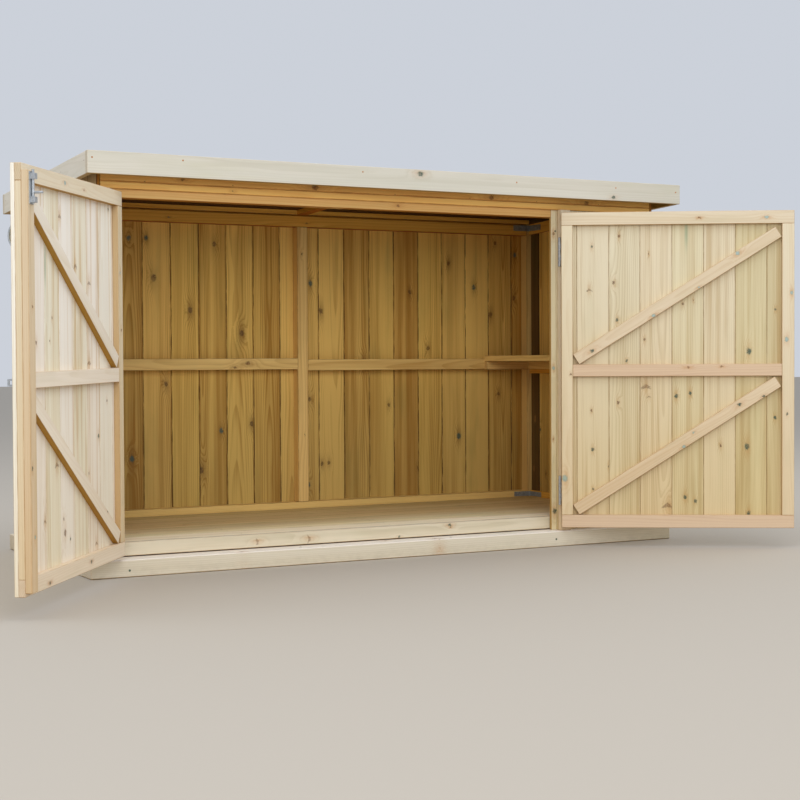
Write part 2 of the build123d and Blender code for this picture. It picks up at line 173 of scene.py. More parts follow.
def wood(name, early, late, knot=(96, 58, 28), halo=(196, 140, 76), green=(168, 172, 122), greenish=0.25,
         edge=(176, 128, 74), edge_amount=0.45, contrast=0.5, rough=0.66, dirt=0.0, grey=0.0,
         low_shade=(1.0, 1.0, 1.0), painted_shade=(0.54, 0.33, 0.08), bands=1.0, outer=None, front=None, streak=None, low_shade_inside_only=False, end=1.0):
    m = bpy.data.materials.new(name)
    m.use_nodes = True
    t = m.node_tree
    t.nodes.clear()
    k = Nodes(t)
    out = k.add("ShaderNodeOutputMaterial")
    bsdf = k.add("ShaderNodeBsdfPrincipled")
    k.t.links.new(bsdf.outputs[0], out.inputs[0])
    g = k.attr("grain")
    seed, tone, hue = k.split(k.attr("look"))
    pc, pt, tilt = k.split(k.attr("pith"))
    edge_at = k.attr("arris", "Fac")
    end_at = k.attr("endgrain", "Fac")
    a, c, th = k.split(g)
    shift = k.vec(k.m("MULTIPLY", seed, 1.73), k.m("MULTIPLY", seed, 0.61), k.m("MULTIPLY", seed, 2.17))
    # slow wander of the grain
    slow = k.noise(k.vadd(k.vmul(g, (1.1, 5.0, 5.0)), shift), 1.0, 2.0)
    slow2 = k.noise(k.vadd(k.vmul(g, (3.2, 16.0, 16.0)), shift), 1.0, 2.0)
    jit = k.m("SUBTRACT", k.noise(k.vadd(k.vmul(g, (110.0, 150.0, 150.0)), shift), 1.0, 2.0), 0.5)
    jit2 = k.m("SUBTRACT", k.noise(k.vadd(k.vmul(g, (150.0, 110.0, 110.0)), k.vadd(shift, (5.0, 9.0, 2.0))), 1.0, 2.0), 0.5)
    lean = k.m("MULTIPLY", k.m("SUBTRACT", slow2, 0.5), 0.35)
    place = k.vec(k.m("ADD", a, k.m("MULTIPLY", jit, 0.013)), k.m("ADD", c, k.m("MULTIPLY", jit2, 0.009)), lean)
    core, halo_v, push, gr, pale_v = 0.0, 0.0, 0.0, 0.0, 0.0
    ringd = 9.0
    for i in range(KNOTS):
        n = k.add("ShaderNodeGroup", node_tree=KNOT)
        k.t.links.new(place, n.inputs[0])
        k.t.links.new(k.attr("knot%d" % i), n.inputs[1])
        core = k.m("MAXIMUM", n.outputs["Core"], core)
        halo_v = k.m("MAXIMUM", n.outputs["Halo"], halo_v)
        push = k.m("ADD", n.outputs["Push"], push)
        gr = k.m("MAXIMUM", n.outputs["Green"], gr)
        pale_v = k.m("MAXIMUM", n.outputs["Pale"], pale_v)
        ringd = k.m("MINIMUM", n.outputs["Dist"], ringd)
    # growth rings about a pith line beside the board
    dc = k.m("SUBTRACT", c, pc)
    dt = k.m("SUBTRACT", th, pt)
    rad = k.m("SQRT", k.m("ADD", k.m("MULTIPLY", dc, dc), k.m("MULTIPLY", dt, dt)))
    rad = k.m("ADD", rad, k.m("MULTIPLY", a, tilt))
    rad = k.m("ADD", rad, k.m("MULTIPLY", slow, 0.026))
    rad = k.m("ADD", rad, k.m("MULTIPLY", slow2, 0.005))
    rad = k.m("ADD", rad, k.m("MULTIPLY", push, 1.7))
    ph = k.m("FRACT", k.m("DIVIDE", rad, 0.0052))
    late_v = k.m("MULTIPLY", k.smooth(ph, 0.35, 0.9), k.m("SUBTRACT", 1.0, k.smooth(ph, 0.93, 1.0)))
    fine = k.noise(k.vadd(k.vmul(g, (3.5, 330.0, 330.0)), shift), 1.0, 3.0, 0.6)
    mid = k.noise(k.vadd(k.vmul(g, (0.9, 42.0, 42.0)), shift), 1.0, 3.0, 0.55)
    broad = k.noise(k.vadd(k.vmul(g, (0.55, 13.0, 13.0)), shift), 1.0, 2.0)
    mix = k.m("ADD", k.m("MULTIPLY", late_v, 0.36 * bands), k.m("MULTIPLY", k.smooth(mid, 0.30, 0.74), 0.48 * bands))
    mix = k.m("ADD", mix, k.m("MULTIPLY", k.m("SUBTRACT", fine, 0.5), 0.55))
    mix = k.m("ADD", mix, k.m("MULTIPLY", k.m("SUBTRACT", broad, 0.5), 0.8))
    mix = k.m("ADD", mix, k.m("MULTIPLY", tone, -0.28))
    mix = k.m("MULTIPLY", mix, contrast, clamp=True)
    col = k.mix(mix, lin(*early), lin(*late))
    edge_col = lin(*edge)
    # a second colour for one set of faces: lit and shaded copies of one timber, painted light and shade
    if outer:
        out_at = k.attr("outer", "Fac")
        col = k.mix(out_at, col, k.mix(mix, lin(*outer[0]), lin(*outer[1])))
        edge_col = k.mix(out_at, edge_col, lin(*outer[2]))
    pink = k.m("MULTIPLY", k.m("MAXIMUM", hue, 0.0), 0.5, clamp=True)
    yellow = k.m("MULTIPLY", k.m("MAXIMUM", k.m("MULTIPLY", hue, -1.0), 0.0), 0.5, clamp=True)
    col = k.mix(pink, col, (1.03, 0.93, 0.86, 1.0), "MULTIPLY")
    col = k.mix(yellow, col, (0.98, 0.97, 0.74, 1.0), "MULTIPLY")
    patch = k.noise(k.vadd(k.vmul(g, (2.1, 9.0, 9.0)), k.vadd(shift, (31.0, 7.0, 3.0))), 1.0, 3.0, 0.6)
    col = k.mix(k.m("MULTIPLY", k.smooth(patch, 0.5, 0.78), greenish), col, lin(*green))
    if streak:
        col = k.mix(k.m("MULTIPLY", k.smooth(k.m("ADD", mid, k.m("MULTIPLY", patch, 0.35)), 0.68, 0.88), streak[1]), col, lin(*streak[0]))
    if grey > 0:
        patch2 = k.noise(k.vadd(k.vmul(g, (1.3, 22.0, 22.0)), k.vadd(shift, (3.0, 17.0, 43.0))), 1.0, 3.0, 0.6)
        col = k.mix(k.m("MULTIPLY", k.smooth(patch2, 0.35, 0.75), grey), col, lin(206, 203, 186))
    halo_w = k.m("MULTIPLY", halo_v, k.m("ADD", 0.22, k.m("MULTIPLY", k.smooth(mid, 0.3, 0.7), 0.45)))
    col = k.mix(halo_w, col, lin(*halo))
    rings = k.m("MULTIPLY", k.m("ADD", k.m("SINE", k.m("MULTIPLY", ringd, 15.0)), 1.0), 0.5)
    kcol = k.mix(k.m("MULTIPLY", rings, 0.4), lin(*knot), lin(152, 104, 58))
    soft = k.noise(k.vadd(k.vmul(g, (260.0, 260.0, 260.0)), shift), 1.0, 2.0)
    col = k.mix(k.m("MULTIPLY", core, k.m("ADD", 0.45, k.m("MULTIPLY", k.smooth(soft, 0.35, 0.65), 0.42))), col, kcol)
    col = k.mix(k.m("MULTIPLY", gr, k.m("ADD", 0.25, k.m("MULTIPLY", k.smooth(soft, 0.3, 0.6), 0.5))), col, lin(62, 106, 96))
    col = k.mix(k.m("MULTIPLY", pale_v, 0.85), col, lin(178, 202, 196))
    # green stain that has run along the grain
    sa, sc, sr = k.split(k.attr("stain"))
    xs = k.m("DIVIDE", k.m("SUBTRACT", a, sa), k.m("MULTIPLY", sr, 9.0))
    ys = k.m("DIVIDE", k.m("SUBTRACT", c, sc), sr)
    ds = k.m("ADD", k.m("MULTIPLY", xs, xs), k.m("MULTIPLY", ys, ys))
    col = k.mix(k.m("MULTIPLY", k.m("POWER", 2.71828, k.m("MULTIPLY", ds, -1.0)), 0.55), col, lin(122, 158, 128))
    # arrises darkened, partly rubbed wear and partly painted shade along the edges and seams; end grain darker
    ragged = k.noise(k.vadd(k.vmul(g, (14.0, 90.0, 90.0)), shift), 1.0, 3.0, 0.6)
    arris_wear_and_shade = k.m("MULTIPLY", edge_at, k.m("MULTIPLY", k.smooth(ragged, 0.3, 0.62), edge_amount))
    col = k.mix(arris_wear_and_shade, col, edge_col)
    endtone = k.m("MULTIPLY", end_at, k.m("ADD", 0.28 * end, k.m("MULTIPLY", late_v, 0.3 * end)))
    col = k.mix(endtone, col, lin(164, 132, 84))
    if dirt > 0:
        z = k.split(k.add("ShaderNodeTexCoord").outputs["Object"])[2]
        speck = k.noise(k.vmul(g, (22.0, 40.0, 40.0)), 1.0, 4.0, 0.7)
        foot = k.m("MULTIPLY", k.m("SUBTRACT", 1.0, k.smooth(z, 0.0, 0.05)), k.smooth(speck, 0.35, 0.75))
        col = k.mix(k.m("MULTIPLY", foot, dirt), col, lin(120, 104, 80))
    # painted shade: the colour is multiplied darker towards the floor, where less sky light reaches (only on inside
    # faces when asked)
    if low_shade != (1.0, 1.0, 1.0):
        height = k.split(k.add("ShaderNodeTexCoord").outputs["Object"])[2]
        low_shade_mask = k.m("SUBTRACT", 1.0, k.smooth(height, 0.05, 1.15))
        if low_shade_inside_only:
            low_shade_mask = k.m("MULTIPLY", low_shade_mask, k.m("SUBTRACT", 1.0, out_at))
        col = k.mix(low_shade_mask, col, low_shade + (1.0,), "MULTIPLY")
    # painted light: the floor's colour is raised near the doorway and fades inwards
    if front:
        depth = k.split(k.add("ShaderNodeTexCoord").outputs["Object"])[1]
        wander = k.m("MULTIPLY", k.m("SUBTRACT", slow2, 0.5), 0.12)
        col = k.mix(k.m("SUBTRACT", 1.0, k.smooth(k.m("ADD", depth, wander), front[0], front[1])), col, front[2] + (1.0,), "MULTIPLY")
    # painted shade: undersides and chosen side faces are multiplied by the darker, orange shade colour
    col = k.mix(k.attr("painted_shade", "Fac"), col, painted_shade + (1.0,), "MULTIPLY")
    k.t.links.new(col, bsdf.inputs["Base Color"])
    rg = k.m("ADD", rough - 0.07, k.m("MULTIPLY", mid, 0.14))
    rg = k.m("ADD", rg, k.m("MULTIPLY", core, -0.14))
    rg = k.m("ADD", rg, k.m("MULTIPLY", edge_at, 0.08))
    k.t.links.new(rg, bsdf.inputs["Roughness"])
    bsdf.inputs["Specular IOR Level"].default_value = 0.32
    h = k.m("ADD", k.m("MULTIPLY", mid, 0.7), k.m("MULTIPLY", fine, 0.8))
    h = k.m("ADD", h, k.m("MULTIPLY", end_at, k.m("MULTIPLY", ragged, 1.2)))
    b = k.add("ShaderNodeBump", {"Height": h, "Strength": 0.35, "Distance": 0.0006})
    k.t.links.new(b.outputs[0], bsdf.inputs["Normal"])
    return m


def metal(name, base, other, rough=0.42, spangle=150.0, rust=0.0, metallic=1.0, bump=0.2):
    m = bpy.data.materials.new(name)
    m.use_nodes = True
    t = m.node_tree
    t.nodes.clear()
    k = Nodes(t)
    out = k.add("ShaderNodeOutputMaterial")
    bsdf = k.add("ShaderNodeBsdfPrincipled")
    k.t.links.new(bsdf.outputs[0], out.inputs[0])
    p = k.add("ShaderNodeTexCoord").outputs["Object"]
    v = k.add("ShaderNodeTexVoronoi", {"Vector": p, "Scale": spangle}, feature="F1")
    cell = k.split(v.outputs["Color"])[0]
    n1 = k.noise(p, 60.0, 4.0, 0.6)
    n2 = k.noise(p, 420.0, 2.0, 0.5)
    f = k.m("ADD", k.m("MULTIPLY", cell, 0.55), k.m("MULTIPLY", n1, 0.5), clamp=True)
    col = k.mix(f, lin(*base), lin(*other))
    if rust > 0:
        col = k.mix(k.m("MULTIPLY", k.smooth(n1, 0.42, 0.62), rust), col, lin(132, 74, 34))
    k.t.links.new(col, bsdf.inputs["Base Color"])
    k.t.links.new(k.m("ADD", rough - 0.1, k.m("ADD", k.m("MULTIPLY", cell, 0.14), k.m("MULTIPLY", n1, 0.16))), bsdf.inputs["Roughness"])
    bsdf.inputs["Metallic"].default_value = metallic
    b = k.add("ShaderNodeBump", {"Height": k.m("ADD", n2, k.m("MULTIPLY", cell, 0.4)), "Strength": bump, "Distance": 0.0003})
    k.t.links.new(b.outputs[0], bsdf.inputs["Normal"])
    return m


def felt_material():
    m = bpy.data.materials.new("mineral_felt")
    m.use_nodes = True
    t = m.node_tree
    t.nodes.clear()
    k = Nodes(t)
    out = k.add("ShaderNodeOutputMaterial")
    bsdf = k.add("ShaderNodeBsdfPrincipled")
    k.t.links.new(bsdf.outputs[0], out.inputs[0])
    p = k.add("ShaderNodeTexCoord").outputs["Object"]
    v = k.add("ShaderNodeTexVoronoi", {"Vector": p, "Scale": 620.0}, feature="F1")
    cell = k.split(v.outputs["Color"])[1]
    grain = k.noise(p, 900.0, 2.0)
    broad = k.noise(k.vmul(p, (1.0, 3.5, 1.0)), 2.2, 4.0, 0.6)
    f = k.m("ADD", k.m("MULTIPLY", cell, 0.7), k.m("MULTIPLY", grain, 0.3), clamp=True)
    col = k.mix(f, lin(52, 55, 52), lin(104, 106, 100))
    col = k.mix(k.m("MULTIPLY", k.smooth(broad, 0.4, 0.75), 0.4), col, lin(120, 118, 106))
    k.t.links.new(col, bsdf.inputs["Base Color"])
    k.t.links.new(k.m("ADD", 0.82, k.m("MULTIPLY", cell, 0.12)), bsdf.inputs["Roughness"])
    bsdf.inputs["Specular IOR Level"].default_value = 0.25
    b = k.add("ShaderNodeBump", {"Height": k.m("ADD", cell, v.outputs["Distance"]), "Strength": 0.5, "Distance": 0.0008})
    k.t.links.new(b.outputs[0], bsdf.inputs["Normal"])
    return m


# painted shade: the low multipliers given to the doors, frames and inside boards below darken them towards the bottom,
# standing in for less light near the ground
DOOR_LOW_SHADE = (0.93, 0.84, 0.66)
BOARD = wood("door_and_wall_boards", (233, 222, 193), (190, 168, 122), contrast=0.8, greenish=0.16, streak=((186, 150, 96), 0.28), low_shade=DOOR_LOW_SHADE, bands=1.0, halo=(190, 144, 82), knot=(84, 56, 32), edge=(166, 124, 72), edge_amount=0.85)
# the left door's boards: the face towards its frame is coloured lighter than the outer face of the same boards, painted
# light on that face
LEAF = wood("left_leaf_boards", (255, 250, 240), (228, 212, 182), contrast=1.0, greenish=0.14, streak=((206, 162, 92), 0.5), low_shade=(0.95, 0.90, 0.81), bands=0.9, halo=(206, 166, 110), knot=(104, 64, 24),
            edge=(184, 142, 84), edge_amount=0.6, outer=((238, 226, 196), (194, 170, 122), (176, 136, 84)))
# painted interior shade: the inside faces of the wall boards and the inside rails and posts are darker, more orange
# copies of the pale timber; the outside faces keep the pale colour, and the dark arrises stand in for shade in the
# seams
INNER = wood("inner_boards", (246, 204, 112), (182, 131, 50), contrast=1.15, greenish=0.3, green=(146, 140, 72), low_shade=(0.68, 0.70, 0.74), low_shade_inside_only=True, edge=(58, 36, 12), edge_amount=1.0,
             knot=(74, 50, 20), halo=(128, 84, 30), outer=((228, 212, 176), (198, 172, 124), (150, 112, 66)))
INMID = wood("inner_middle_rails", (240, 204, 130), (200, 154, 84), contrast=0.9, greenish=0.16, green=(142, 140, 78), edge=(120, 84, 40), edge_amount=0.7,
             knot=(92, 60, 28), halo=(150, 104, 48))
INRAIL = wood("inner_rails", (240, 186, 84), (204, 140, 42), contrast=0.9, greenish=0.1, green=(142, 140, 78), edge=(96, 62, 22), edge_amount=0.8,
              knot=(74, 50, 20), halo=(128, 84, 30))
# painted shade: the roof's underside and battens are coloured near black-brown to stand in for the shade under the roof
SHADE_DARK = wood("roof_underside", (92, 64, 30), (58, 38, 14), contrast=0.9, greenish=0.1, green=(90, 92, 50), edge=(44, 28, 10), edge_amount=1.0)
# painted shade: the rearmost board of the right end wall is coloured dark inside for the shade in the back corner
ENDDARK = wood("shaded_end_board", (120, 88, 44), (78, 56, 24), contrast=0.9, greenish=0.3, green=(90, 92, 50), edge=(44, 28, 10), edge_amount=1.0,
               outer=((228, 212, 176), (198, 172, 124), (150, 112, 66)))
# painted shade: the front top board and the header are orange copies of the frame timber, coloured for the shade under
# the eaves
UNDER = wood("front_top_board", (255, 206, 118), (236, 166, 82), contrast=0.85, greenish=0.12, green=(196, 178, 110), edge=(150, 96, 44), edge_amount=0.8,
             knot=(110, 62, 26))
HEAD = wood("front_header", (232, 192, 126), (212, 160, 86), contrast=0.85, greenish=0.12, edge=(196, 136, 70), edge_amount=0.6)
# left door braces and lower rails: their painted shade colour for undersides is darker than the default
LBRACE = wood("left_door_braces_and_lower_rails", (248, 240, 225), (228, 212, 184), contrast=0.8, greenish=0.16, edge=(200, 160, 106), edge_amount=0.4,
              low_shade=(0.97, 0.90, 0.80), bands=0.8, end=0.4, painted_shade=(0.47, 0.28, 0.05))
FRAME = wood("framing", (236, 222, 196), (214, 190, 150), contrast=0.8, greenish=0.16, edge=(196, 152, 98), edge_amount=0.55, low_shade=(0.95, 0.86, 0.74), bands=0.8, end=0.4)
JAMB = wood("jamb_timber", (238, 229, 202), (212, 196, 154), contrast=0.8, greenish=0.35, green=(180, 182, 130), edge=(196, 152, 98), edge_amount=0.5,
            low_shade=(0.95, 0.91, 0.82), bands=0.8, end=0.4)
LOWPINK = wood("bottom_rails", (226, 200, 168), (202, 166, 132), contrast=0.8, greenish=0.1, edge=(196, 152, 98), edge_amount=0.5, bands=0.8)
# painted light: floor boards brighter near the doorway, a pool of light fading inwards
FLOORS = wood("floor_boards", (226, 200, 146), (190, 160, 106), contrast=0.85, greenish=0.3, edge=(96, 70, 36), edge_amount=0.6,
              front=(-0.36, 0.02, (1.4, 1.62, 2.4)))
# base beams: the second, whiter colour goes on the front beam's top face, painted light where the sky falls on it
BASE = wood("base_beams", (230, 219, 197), (206, 192, 163), contrast=0.8, greenish=0.3, edge_amount=0.3, dirt=0.16,
            outer=((252, 244, 232), (238, 226, 210), (252, 246, 236)))
SILL = wood("doorway_bottom_rail", (224, 212, 188), (198, 184, 152), contrast=0.8, greenish=0.25, edge_amount=0.3)
FASCIA = wood("fascia_boards", (222, 217, 204), (202, 195, 176), contrast=0.85, greenish=0.3, green=(198, 196, 158), grey=0.5, edge=(196, 168, 124), edge_amount=0.35)
ZINC = metal("galvanised_steel", (204, 209, 214), (158, 164, 170), rough=0.42, metallic=0.6)
STRAP = metal("corner_strap_steel", (178, 182, 182), (132, 136, 136), rough=0.5, metallic=0.5)
NAIL = metal("nail_heads", (150, 120, 92), (96, 70, 50), rough=0.55, rust=0.8, metallic=0.7, spangle=400.0)
RUST = metal("rusty_nail_heads", (214, 160, 104), (176, 112, 60), rough=0.7, rust=0.3, metallic=0.2, spangle=400.0)
SCREW = metal("screw_heads", (120, 132, 112), (84, 100, 84), rough=0.42, rust=0.15, metallic=0.7, spangle=400.0)
FELT = felt_material()


# ---- board geometry -----------------------------------------------------------
TOPO = {}


def topology(na, nb, nc):
    key = (na, nb, nc)
    if key in TOPO:
        return TOPO[key]
    index, grid, faces = {}, [], []

    def vid(i, j, l):
        q = (i, j, l)
        if q not in index:
            index[q] = len(grid)
            grid.append(q)
        return index[q]

    for l, up in ((0, False), (nc - 1, True)):
        for i in range(na - 1):
            for j in range(nb - 1):
                f = [vid(i, j, l), vid(i + 1, j, l), vid(i + 1, j + 1, l), vid(i, j + 1, l)]
                faces.append(f if up else f[::-1])
    for j, up in ((0, True), (nb - 1, False)):
        for i in range(na - 1):
            for l in range(nc - 1):
                f = [vid(i, j, l), vid(i + 1, j, l), vid(i + 1, j, l + 1), vid(i, j, l + 1)]
                faces.append(f if up else f[::-1])
    for i, up in ((0, False), (na - 1, True)):
        for j in range(nb - 1):
            for l in range(nc - 1):
                f = [vid(i, j, l), vid(i, j + 1, l), vid(i, j + 1, l + 1), vid(i, j, l + 1)]
                faces.append(f if up else f[::-1])
    TOPO[key] = (np.array(grid), np.array(faces))
    return TOPO[key]


def stations(length, b, n):
    s = [0.0, 0.5858 * b, b]
    s += [b + (length - 2 * b) * i / n for i in range(1, n)]
    return np.array(s + [length - b, length - 0.5858 * b, length])


class Piece:
    """Boards joined into one mesh, each with its own grain, tone and knots."""

    def __init__(self, name, slot, body, *nodes):
        self.name, self.slot, self.body, self.nodes = name, slot, body, nodes
        self.v, self.f, self.n, self.mat = [], [], [], []
        self.att = {a: [] for a in ["grain", "look", "pith", "arris", "endgrain", "painted_shade", "outer", "stain"] + ["knot%d" % i for i in range(KNOTS)]}
        self.count = 0
        self.mats = []

    def board(self, box, grain, mat, b=1.2, place=None, top=None, bottom=None, knots=None, stain=None, tone=None, hue=None,
              density=14.0, across=None, cuts=None, pith=None, spread=0.5, painted_shade=None, outer=(0, 0, 0), rows=1, where=None):
        x0, x1, y0, y1, z0, z1 = [float(q) for q in box]
        size = np.array([x1 - x0, y1 - y0, z1 - z0])
        others = [i for i in range(3) if i != grain]
        if across is None:
            across = max(others, key=lambda i: size[i])
        thick = [i for i in others if i != across][0]
        bb = min(b, 0.42 * size.min())
        n = [1, 1, 1]
        n[grain] = cuts or max(1, int(size[grain] // 260))
        n[across] = rows
        st = [stations(size[i], bb, n[i]) for i in range(3)]
        grid, faces = topology(*[len(s) for s in st])
        p = np.stack([st[i][grid[:, i]] for i in range(3)], 1)
        inner = np.clip(p, bb, size - bb)
        d = p - inner
        ln = np.linalg.norm(d, axis=1, keepdims=True)
        nrm = d / np.maximum(ln, 1e-9)
        p = inner + nrm * bb
        nrm_own = nrm
        arris = (np.sort(np.abs(nrm), axis=1)[:, 1] > 0.2).astype(float)
        endg = (np.abs(nrm[:, grain]) > 0.8).astype(float)
        # painted shade weights per vertex: undersides by default, or per-face weights given by the caller
        if painted_shade is None:
            shade = np.clip(-nrm[:, 2], 0, 1)
        else:
            shade = np.clip(np.clip(nrm, 0, 1) @ np.array(painted_shade[0], float) + np.clip(-nrm, 0, 1) @ np.array(painted_shade[1], float), 0, 1)
        centred = (p - size / 2) * 0.001
        g = np.stack([centred[:, grain], centred[:, across], centred[:, thick]], 1)
        w = p + np.array([x0, y0, z0])
        if top is not None:
            lo = z0 if bottom is None else bottom(w[:, 1])
            hi = top(w[:, 1])
            w[:, 2] = lo + (w[:, 2] - z0) / (z1 - z0) * (hi - lo)
        # painted shade kept only where the mask holds, such as near the eaves
        if where is not None:
            shade = shade * where(w)
        if place is not None:
            probe = np.array([[x0, y0, z0], [x1, y0, z0], [x0, y1, z0], [x0, y0, z1]])
            pr = place(probe)
            flip = np.linalg.det(np.stack([pr[1] - pr[0], pr[2] - pr[0], pr[3] - pr[0]])) < 0
            nn = place(w + nrm) - place(w)
            nrm = nn / np.linalg.norm(nn, axis=1, keepdims=True)
            w = place(w)
            if flip:
                faces = faces[:, ::-1]
        nv = len(w)
        self.v.append(w * 0.001)
        self.n.append(nrm)
        self.f.append(faces + self.count)
        self.count += nv
        if mat not in self.mats:
            self.mats.append(mat)
        self.mat.append(np.full(len(faces), self.mats.index(mat)))
        W, T, L = size[across], size[thick], size[grain]
        look = np.array([rng.uniform(1, 60), rng.normal(0, spread) if tone is None else tone, rng.normal(0, 0.45) if hue is None else hue])
        look[1:] = np.clip(look[1:], -1.3, 1.3)
        auto_pith = np.array([rng.uniform(-0.9, 0.9) * W, rng.choice([-1, 1]) * (T / 2 + rng.uniform(12, 70)), rng.uniform(-22, 22)]) * 0.001
        pv = auto_pith if pith is None else np.array(pith) * 0.001
        found = []
        extra = rng.uniform(0, 1, (5, 4))
        number = min(5, int(rng.poisson(density * L * max(W, 40.0) * 1e-6)))
        if knots is None:
            for q in extra[:number]:
                r = (2.2 + 6.3 * q[2] ** 2) * min(1.0, W / 60.0 + 0.3)
                found.append(((q[0] - 0.5) * L * 0.96, (q[1] - 0.5) * max(W - 2 * r, 1.0), r * (-1 if q[3] < 0.10 else 1)))
        else:
            mid = {0: (x0 + x1) / 2, 1: (y0 + y1) / 2, 2: (z0 + z1) / 2}
            for k_a, k_c, k_r in knots[:KNOTS]:
                found.append((k_a - mid[grain], k_c - mid[across], k_r))
        while len(found) < KNOTS:
            found.append((9000.0, 9000.0, 1.0))
        self.att["grain"].append(g)
        self.att["look"].append(np.tile(look, (nv, 1)))
        self.att["pith"].append(np.tile(pv, (nv, 1)))
        self.att["arris"].append(arris)
        self.att["endgrain"].append(endg)
        self.att["painted_shade"].append(shade)
        self.att["outer"].append(np.clip((nrm_own @ np.array(outer, float)) * 1.3, 0, 1))
        st_v = (9000.0, 9000.0, 1.0)
        if stain is not None:
            mid = {0: (x0 + x1) / 2, 1: (y0 + y1) / 2, 2: (z0 + z1) / 2}
            st_v = (stain[0] - mid[grain], stain[1] - mid[across], stain[2])
        self.att["stain"].append(np.tile(np.array(st_v) * 0.001, (nv, 1)))
        for i in range(KNOTS):
            self.att["knot%d" % i].append(np.tile(np.array(found[i]) * 0.001, (nv, 1)))

    def bore(self, o, x, y, r, z0, z1, mid):
        """Bores a round hole up into a single board and gives the new vertices that board's attributes."""
        bm = bmesh.new()
        bmesh.ops.create_cone(bm, cap_ends=True, segments=24, radius1=r * 0.001, radius2=r * 0.001, depth=(z1 - z0) * 0.001)
        cutter_mesh = bpy.data.meshes.new("cutter")
        bm.to_mesh(cutter_mesh)
        bm.free()
        cutter = bpy.data.objects.new("cutter", cutter_mesh)
        cutter.location = (x * 0.001, y * 0.001, (z0 + z1) * 0.0005)
        bpy.context.scene.collection.objects.link(cutter)
        mod = o.modifiers.new("hole", "BOOLEAN")
        mod.operation, mod.solver, mod.object = "DIFFERENCE", "EXACT", cutter
        bpy.context.view_layer.update()
        me = bpy.data.meshes.new_from_object(o.evaluated_get(bpy.context.evaluated_depsgraph_get()))
        me.name = self.name
        o.modifiers.clear()
        o.data = me
        bpy.data.objects.remove(cutter)
        bpy.data.meshes.remove(cutter_mesh)
        co = np.zeros(len(me.vertices) * 3)
        me.vertices.foreach_get("co", co)
        co = co.reshape(-1, 3)
        g = (co - np.array(mid) * 0.001)[:, [0, 2, 1]]
        me.attributes["grain"].data.foreach_set("vector", g.astype(np.float32).ravel())
        for a in ["look", "pith", "stain"] + ["knot%d" % i for i in range(KNOTS)]:
            row = self.att[a][0][0]
            me.attributes[a].data.foreach_set("vector", np.tile(row, len(co)).astype(np.float32))
        me.set_sharp_from_angle(angle=math.radians(50))

    def build(self, hole=None):
        v, f = np.concatenate(self.v), np.concatenate(self.f)
        me = bpy.data.meshes.new(self.name)
        me.from_pydata(v.tolist(), [], f.tolist())
        for m in self.mats:
            me.materials.append(m)
        me.polygons.foreach_set("material_index", np.concatenate(self.mat).astype(np.int32))
        for a, parts in self.att.items():
            data = np.concatenate(parts)
            if data.ndim == 1:
                me.attributes.new(a, "FLOAT", "POINT").data.foreach_set("value", data.astype(np.float32))
            else:
                me.attributes.new(a, "FLOAT_VECTOR", "POINT").data.foreach_set("vector", data.astype(np.float32).ravel())
        me.polygons.foreach_set("use_smooth", np.ones(len(f), bool))
        me.update()
        me.normals_split_custom_set_from_vertices(np.concatenate(self.n).tolist())
        o = bpy.data.objects.new(self.name, me)
        bpy.context.scene.collection.objects.link(o)
        if hole:
            self.bore(o, *hole)
        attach(o, self.body)
        if self.nodes:
            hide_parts(*self.nodes)
        return o


def pick(knots, lo, hi, swap=False):
    """The knots whose across value lies on a board from lo to hi."""
    out = [k for k in knots if lo <= k[1] < hi]
    return out


def run(piece, edges, make_box, grain, mat, gap=1.1, tongue=None, known=None, fill=None, **kw):
    """A row of tongue-and-groove boards between the given edges, with the tongues in the gaps."""
    for i, (e0, e1) in enumerate(zip(edges[:-1], edges[1:])):
        a = e0 + (gap / 2 if i else 0)
        c = e1 - (gap / 2 if i < len(edges) - 2 else 0)
        ks = None
        if known is not None:
            ks = [q for q in known if e0 <= q[1] < e1]
            if fill is not None and len(ks) == 0 and fill(e0, e1):
                ks = None
        piece.board(make_box(a, c), grain, mat, knots=ks, **kw)
        if tongue is not None and i:
            piece.board(tongue(e0 - 3.0, e0 + 3.0), grain, mat, b=0.3, knots=[], density=0, tone=-1.2,
                        **{q: kw[q] for q in kw if q in ("place", "top", "bottom", "across")})


def leaf(side):
    hx = HINGE_LX if side < 0 else HINGE_RX
    t = T_LEFT if side < 0 else T_RIGHT
    U = np.array([math.cos(t), -math.sin(t)]) if side < 0 else np.array([-math.cos(t), -math.sin(t)])
    V = np.array([math.sin(t), math.cos(t)]) if side < 0 else np.array([-math.sin(t), math.cos(t)])

    def place(p):
        z = p[:, 2] - (RACK * p[:, 0] if side < 0 else 0.0)
        return np.stack([hx + p[:, 0] * U[0] + p[:, 1] * V[0], HINGE_Y + p[:, 0] * U[1] + p[:, 1] * V[1], z], 1)
    return place


LEFT, RIGHT = leaf(-1), leaf(1)

# ---- knots seen on the doors and the back wall: (along, across, radius) in mm;
# below 0 a knot is green, below -100 a pale spot, over 100 one cut lengthwise,
# and the radius is what is left over ------------------------------------------
R_BOARD = [(1158, 221, 5), (985, 201, 6), (846, 213, -5), (904, 456, 5), (917, 495, 3), (771, 315, 5), (694, 249, -4),
           (727, 699, -9), (372, 692, -9), (881, 796, -4), (538, 217, 6), (562, 432, -6), (571, 484, -5), (480, 795, -5),
           (377, 595, 5), (185, 464, -6), (170, 502, -5), (155, 399, 110), (362, 122, -5), (507, 117, 4), (299, 182, -4),
           (214, 123, -4), (124, 699, -6), (1120, 120, -4), (960, 110, 106), (1090, 330, 3), (600, 320, 109), (560, 330, 104)]
R_UP = [(1089, 655, -106), (860, 346, -105), (731, 119, -6), (964, 512, -103)]
R_LOW = [(530, 662, -6), (373, 458, -105), (427, 494, -103), (560, 750, -4)]
R_MID = [(474, 668, 5), (597, 671, 4), (30, 655, -4)]
